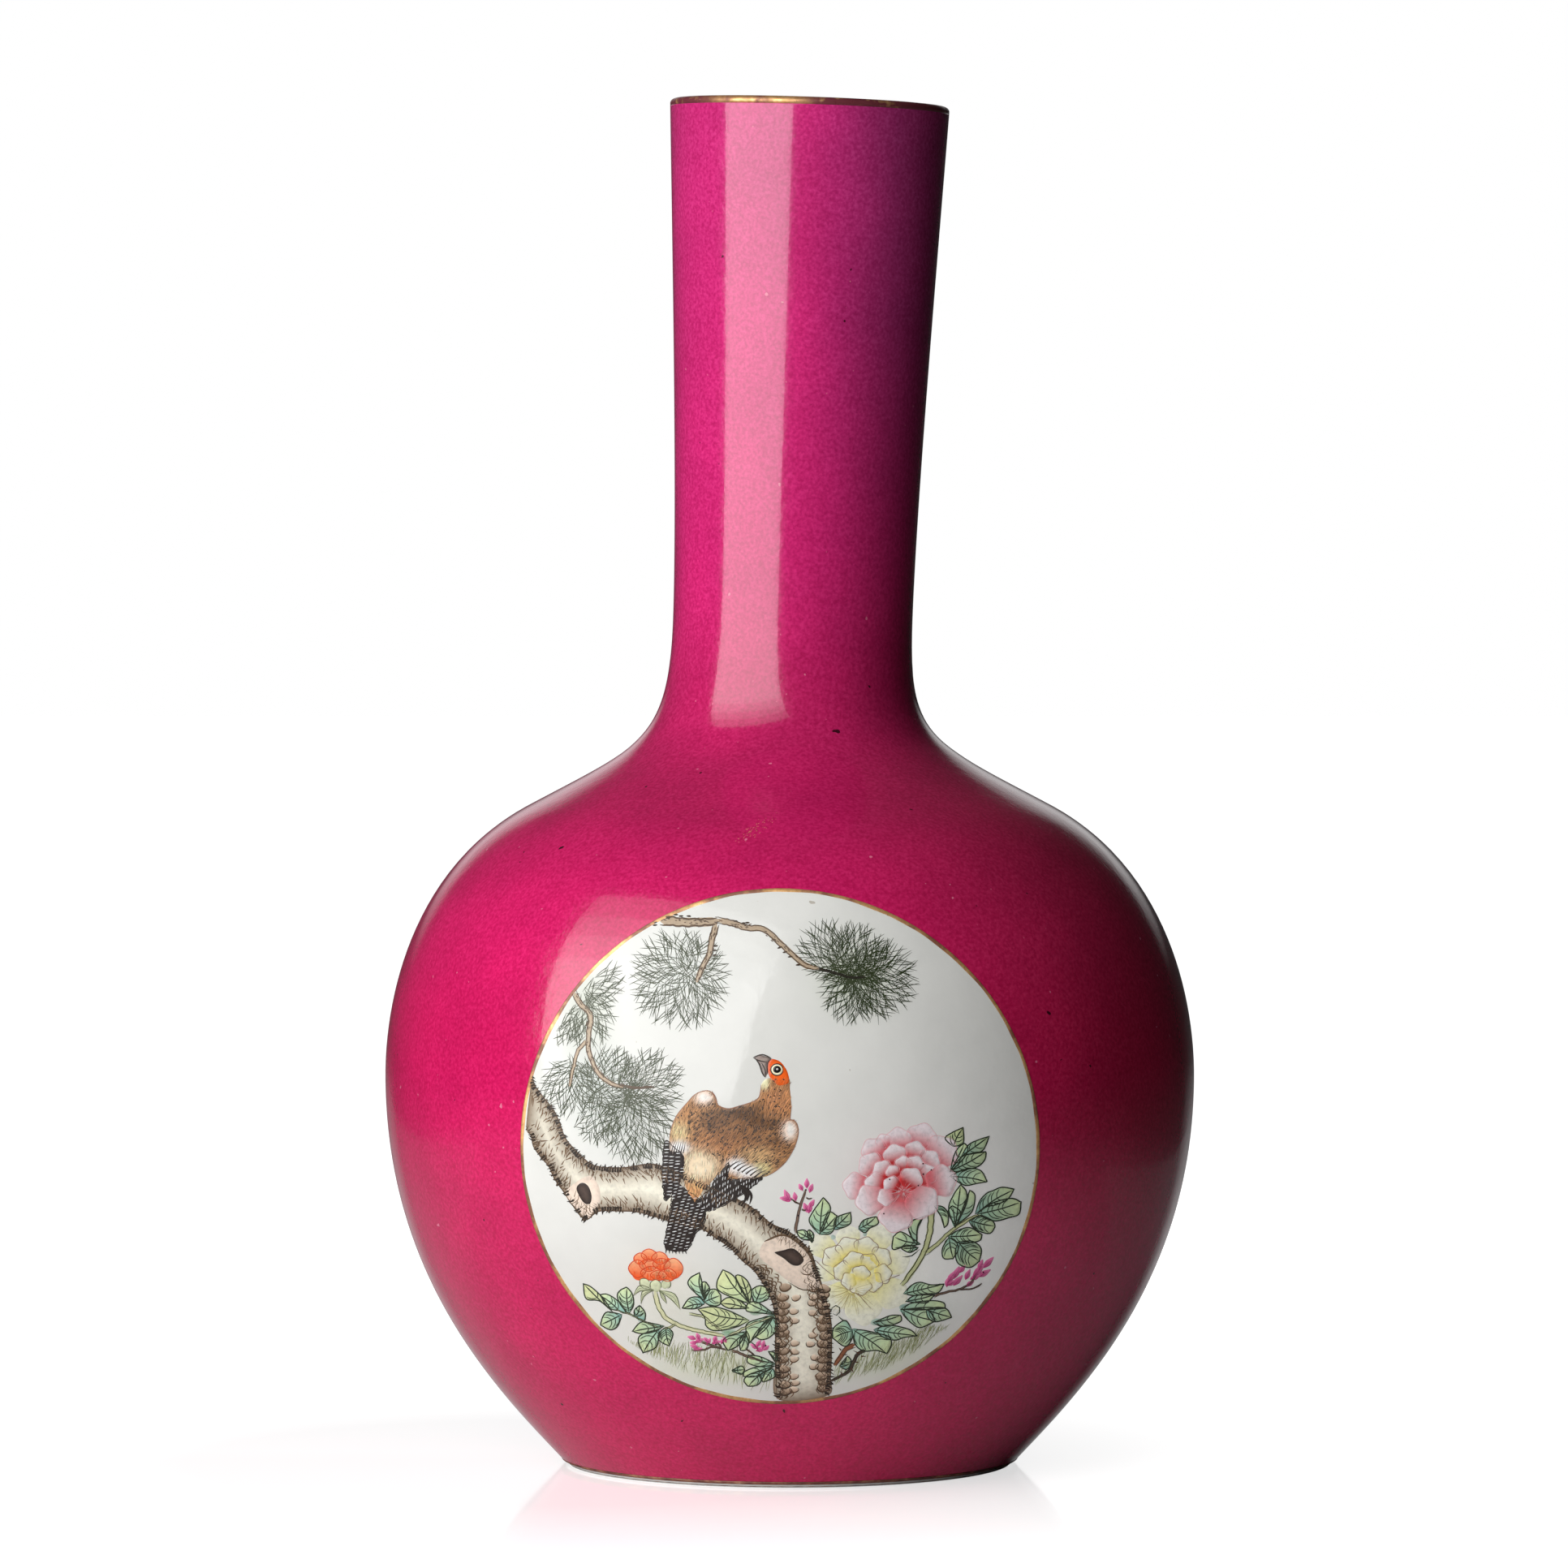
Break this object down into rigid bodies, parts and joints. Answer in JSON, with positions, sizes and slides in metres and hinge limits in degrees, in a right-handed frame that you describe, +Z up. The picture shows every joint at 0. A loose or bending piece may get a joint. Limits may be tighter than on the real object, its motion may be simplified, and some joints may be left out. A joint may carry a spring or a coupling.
{
  "type": "vase",
  "caption": "Porcelain bottle vase with a globular body and tall neck, ruby enamel ground, and round white panels painted with a bird, pine and peonies.",
  "frame": {"origin": "centre of the body on the plane the foot rests on", "axes": "+Z up from the foot to the lip; the front panel faces -Y; the neck leans slightly towards +X"},
  "size_m": [0.2678, 0.268, 0.4514],
  "materials": {
    "porcelain": "gloss",
    "panel_white": "gloss",
    "ruby_enamel": "gloss",
    "gilding": "worn satin",
    "brown_dressing": "satin",
    "bird_enamel": "gloss",
    "bark_enamel": "gloss",
    "pink_enamel": "gloss",
    "yellow_enamel": "gloss",
    "coral_enamel": "gloss",
    "leaf_enamel": "gloss",
    "magenta_enamel": "gloss",
    "pine_enamel": "gloss",
    "grass_enamel": "gloss"
  },
  "bodies": {
    "root": {"lower_body_section": "porcelain", "upper_body_section": "porcelain", "neck_section": "porcelain", "belly_slip_seam": "porcelain", "neck_slip_seam": "porcelain", "base_glaze": "porcelain", "ruby_ground_body": "ruby_enamel", "ruby_ground_neck": "ruby_enamel", "lip_gilding": "gilding", "foot_dressing": "brown_dressing", "front_panel_glaze": "panel_white", "front_panel_gilt_line": "gilding", "front_bird": "bird_enamel", "front_pine_trunk": "bark_enamel", "front_pine_bough": "bark_enamel", "front_pink_peony": "pink_enamel", "front_yellow_peony": "yellow_enamel", "front_coral_peony": "coral_enamel", "front_peony_leaves": "leaf_enamel", "front_bud_sprays": "magenta_enamel", "front_pine_needles": "pine_enamel", "front_grass": "grass_enamel", "rear_panel_glaze": "panel_white", "rear_panel_gilt_line": "gilding", "rear_bird": "bird_enamel", "rear_pine_trunk": "bark_enamel", "rear_pine_bough": "bark_enamel", "rear_pink_peony": "pink_enamel", "rear_yellow_peony": "yellow_enamel", "rear_coral_peony": "coral_enamel", "rear_peony_leaves": "leaf_enamel", "rear_bud_sprays": "magenta_enamel", "rear_pine_needles": "pine_enamel", "rear_grass": "grass_enamel"}
  },
  "joints": []
}
